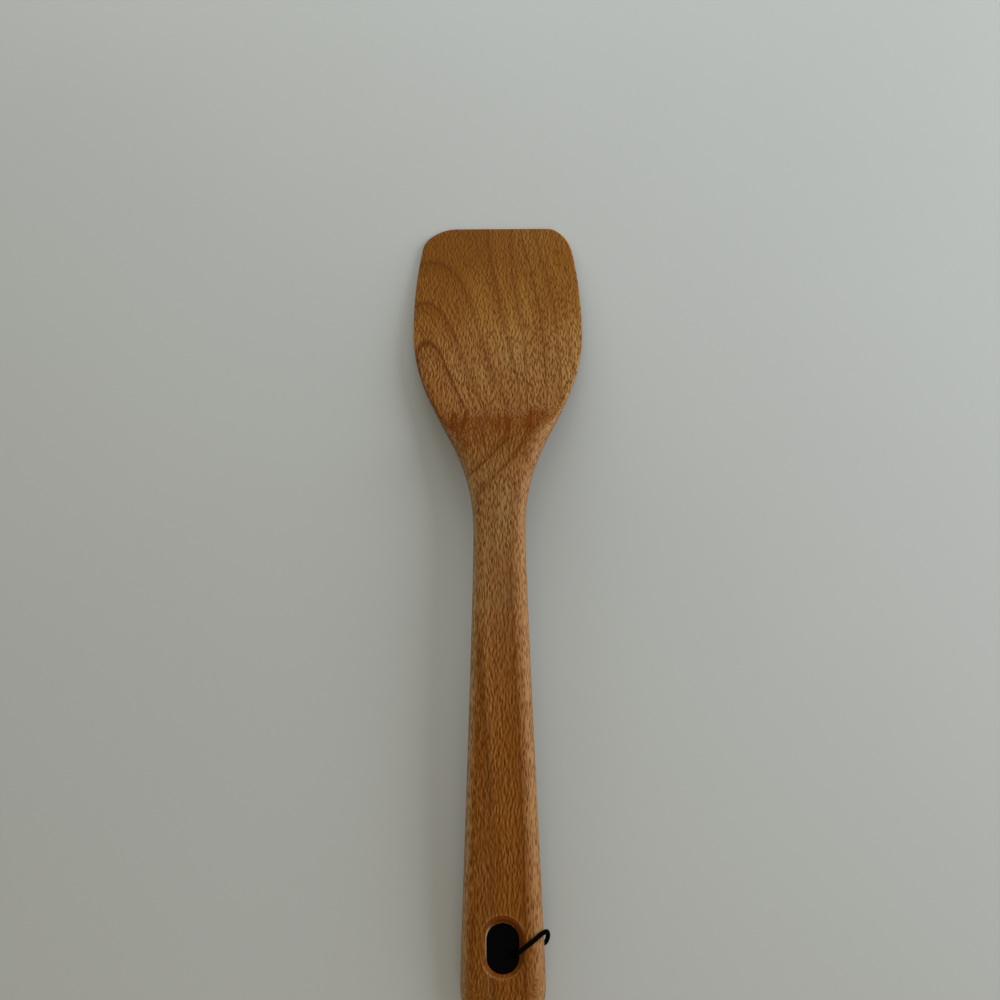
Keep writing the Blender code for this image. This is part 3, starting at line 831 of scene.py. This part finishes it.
def oiled_beech(flecks):
    """Beech with nested growth lines on the blade, streaks that run on down the handle and flecks all over.

    Its colour is a brown with thin layers laid over it one after the other, each a share and a tone; some of
    them are painted sheen, painted highlights and painted shade.
    """
    material, g, shader = new_material("oiled_beech")
    x, y, z = g.split(millimetres(g))
    along = g.math("MULTIPLY_ADD", y, 1.0 / COURSE_LENGTH, 0.5)

    ring, growth = growth_lines(g, x, y, z)
    streak = g.noise(g.xyz(ring, g.product(y, 0.035), g.product(z, 0.25)), 0.45, 3.0, 0.55)
    fibre = g.noise(g.xyz(x, g.product(y, 0.06), z), 0.9, 2.0, 0.6)
    broad = g.noise(g.xyz(x, g.product(y, 0.4), z), 0.05, 2.0)
    dark, light = fleck_marks(g, flecks, x, y, z, along)
    band, end_grain = ramp_grain(g, x, y, z)
    from_edge, rim_painted_shade, outer_rim_highlight, inner_rim_highlight = hole_rim(g, x, y)

    # sides that face right, left and the tip
    turned, tipped, _ = g.split(g.add("ShaderNodeNewGeometry").outputs["Normal"])
    dark = g.product(dark, g.span(g.math("ABSOLUTE", turned), 0.2, 0.6, 1.0, 0.8))
    off_rim = g.span(from_edge, 1.9, 2.4)
    # painted light and sheen: faces turned to the right paler, as if lit by the lamp on the right
    painted_light_right = g.product(g.span(turned, 0.1, 0.6, 0.0, 0.82), off_rim)
    # painted sheen: faces turned to the left paler, more so on the handle
    painted_light_left = g.product(g.span(turned, -0.35, -0.8, 0.0, 0.7), g.span(y, 60.0, 0.0, 0.55, 1.0), off_rim)

    # colour
    neck = g.product(g.span(y, 66.0, 60.0), g.span(y, 34.0, 44.0, 0.0, 0.7))
    on_blade = g.span(y, 90.0, 120.0)
    # tone of the painted sheen, greyer on the neck and yellower on the blade
    painted_sheen_tone = g.mix(g.span(y, 60.0, 30.0), rgb(152, 116, 66), rgb(140, 110, 72))
    painted_sheen_tone = g.mix(on_blade, painted_sheen_tone, rgb(150, 110, 48))
    light_tone = g.mix(on_blade, rgb(172, 127, 74), rgb(168, 122, 60))
    left_corner = g.product(g.span(x, 2.0, -10.0), g.span(y, 126.0, 142.0, 0.0, 0.35))
    layers = [
        (neck, rgb(102, 60, 14)),
        # painted sheen: a pale tone on the lower blade and the neck
        (painted_sheen_share(g, x, y, along, broad), painted_sheen_tone),
        (g.product(light, 0.65), light_tone),
        (g.span(streak, 0.38, 0.68, 0.0, 0.26), rgb(92, 48, 8)),
        (g.span(fibre, 0.45, 0.72, 0.0, 0.22), rgb(92, 48, 8)),
        (g.span(broad, 0.35, 0.65, 0.0, 0.22), rgb(112, 62, 12)),
        (left_corner, rgb(92, 56, 4)),
        (g.product(growth, 0.9), rgb(66, 30, 0)),
        (g.product(end_grain, 0.9), rgb(84, 38, 0)),
        # darker where faces turn to the tip: end grain, and painted shade against the light from ahead
        (g.span(tipped, 0.12, 0.55, 0.0, 0.3), rgb(100, 50, 0)),
        # painted light and sheen on the right shoulders
        (painted_light_right, rgb(164, 122, 79)),
        # painted sheen on the left shoulders
        (painted_light_left, rgb(158, 130, 92)),
        # painted shade on the hole's rim, deepest on its right side, away from the lamp
        (rim_painted_shade, rgb(92, 36, 8)),
        # painted highlight on the rim's outer edge at its top and bottom
        (g.product(outer_rim_highlight, 0.22), rgb(168, 122, 58)),
        (g.span(dark, 0.0, 0.5, 0.0, 0.5), rgb(114, 64, 0)),
        (dark, rgb(71, 28, 0)),
        # painted highlight on the rim's inner lip, on its left and lower side
        (g.product(inner_rim_highlight, 0.6), rgb(196, 178, 146)),
    ]
    colour = g.mix(g.span(y, 70.0, 150.0), rgb(118, 66, 11), rgb(104, 62, 0))
    for share, tone in layers:
        colour = g.mix(share, colour, tone)

    rough = g.math("MULTIPLY_ADD", dark, 0.1, 0.42)
    rough = g.math("MULTIPLY_ADD", band, 0.35, rough)
    relief = g.math("MULTIPLY_ADD", dark, -0.7, g.product(fibre, 0.5))
    connect(g, shader, colour, rough, relief, 0.35, 0.00006, 0.03)
    return material


def black_rubber(speckle):
    """Matte black rubber with a fine mottle and a little dust."""
    material, g, shader = new_material("black_rubber")
    fine = g.add("ShaderNodeGroup", {"Place": millimetres(g), "Size": 0.35}, node_tree=speckle).outputs
    colour = g.mix(fine["Mottle"], rgb(0, 0, 0), rgb(5, 5, 5))
    colour = g.mix(g.product(fine["Dust"], 0.12), colour, rgb(52, 50, 46))
    rough = g.math("MULTIPLY_ADD", fine["Mottle"], 0.2, 0.62)
    connect(g, shader, colour, rough, fine["Mottle"], 0.4, 0.00005, 0.03)
    return material


def black_elastic(speckle):
    """Braided black elastic, whose yarn is a little mottled."""
    material, g, shader = new_material("black_elastic")
    fine = g.add("ShaderNodeGroup", {"Place": millimetres(g), "Size": 0.12}, node_tree=speckle).outputs
    colour = g.mix(fine["Mottle"], rgb(0, 0, 0), rgb(4, 4, 4))
    rough = g.math("MULTIPLY_ADD", fine["Mottle"], 0.2, 0.6)
    connect(g, shader, colour, rough, fine["Mottle"], 0.5, 0.00004, 0.02)
    return material


def make_camera():
    """A camera above the paddle's near end that looks down 72 degrees."""
    data = bpy.data.cameras.new("camera")
    data.lens = 36.0
    data.sensor_width = 36.0
    data.clip_start = 0.01
    data.clip_end = 20.0
    camera = bpy.data.objects.new("camera", data)
    camera.location = CAMERA_PLACE
    camera.rotation_euler = (CAMERA_PITCH, 0.0, CAMERA_TURN)
    bpy.context.scene.collection.objects.link(camera)
    bpy.context.scene.camera = camera


def make_stage():
    """A plain pale floor at height 0, with faint clouds."""
    material, g, shader = new_material("pale_floor")
    place = g.add("ShaderNodeTexCoord").outputs["Object"]
    cloud = g.noise(place, 6.0, 2.0)
    tone = g.mix(cloud, (0.97, 0.97, 0.97, 1.0), (1.03, 1.03, 1.03, 1.0))
    colour = g.mix(1.0, (*FLOOR_COLOUR, 1.0), tone, "MULTIPLY")
    g.tree.links.new(colour, shader.inputs["Base Color"])
    shader.inputs["Roughness"].default_value = 0.9
    shader.inputs["Specular IOR Level"].default_value = 0.1
    points = FLOOR_HALF * np.array([(-1.0, -1.0, 0.0), (1.0, -1.0, 0.0), (1.0, 1.0, 0.0), (-1.0, 1.0, 0.0)])
    floor = new_piece("floor", points, np.array([[0, 1, 2, 3]]), material)


def add_panel(name, turn, rise, distance, width, height, power, tint):
    """A soft lamp that faces the object's middle, turn degrees clockwise of ahead and rise degrees up."""
    data = bpy.data.lights.new(name, "AREA")
    data.shape = "RECTANGLE"
    data.size = width
    data.size_y = height
    data.energy = power
    data.color = tint
    lamp = bpy.data.objects.new(name, data)
    turn, rise = math.radians(turn), math.radians(rise)
    flat = distance * math.cos(rise)
    lamp.location = (flat * math.sin(turn), flat * math.cos(turn), distance * math.sin(rise))
    lamp.rotation_euler = (0.5 * math.pi - rise, 0.0, math.pi - turn)
    bpy.context.scene.collection.objects.link(lamp)


def make_light():
    """A dim even dome and five large soft panels, most of their light from the right and from ahead.

    Past the floor's edge the camera sees the floor's colour in place of the dome.
    """
    world = bpy.data.worlds.new("studio")
    world.use_nodes = True
    world.node_tree.nodes.clear()
    g = Graph(world.node_tree)
    dome = g.add("ShaderNodeBackground", {"Color": (*DOME_COLOUR, 1.0), "Strength": DOME_STRENGTH})
    shown = g.add("ShaderNodeBackground", {"Color": (*FLOOR_COLOUR, 1.0), "Strength": 1.0})
    seen = g.add("ShaderNodeLightPath").outputs["Is Camera Ray"]
    blend = g.add("ShaderNodeMixShader", {0: seen, 1: dome.outputs[0], 2: shown.outputs[0]})
    output = g.add("ShaderNodeOutputWorld")
    g.tree.links.new(blend.outputs[0], output.inputs[0])
    bpy.context.scene.world = world
    for panel in PANELS:
        add_panel(*panel)


def put(piece, node):
    """Makes a piece stand for a node of the part, whose own mesh is hidden, and ride on the one body."""
    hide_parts(node)
    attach(piece, "root")


make_camera()
bpy.context.scene.view_settings.view_transform = "Standard"

speckle = speckle_group()
inward = (CORD_ROUTE[0] - CORD_ROUTE[1]) / np.linalg.norm(CORD_ROUTE[0] - CORD_ROUTE[1])
tucked = [CORD_ROUTE[0] + UPPER_TUCK * inward, CORD_ROUTE, CORD_ROUTE[-1] + LOWER_TUCK * HOLE_AXIS]
line = smooth_route(np.vstack(tucked), CORD_STEP)
cord = new_piece("cord_loop", *cord_grid(line), black_elastic(speckle))
put(cord, "hanging_cord")

plug = new_piece("rubber_plug", *plug_grid(), black_rubber(speckle))
put(plug, "hole_plug")

wood = new_piece("beech_paddle", *paddle_grid(), oiled_beech(flecks_group()))
put(wood, "paddle")

make_stage()
make_light()
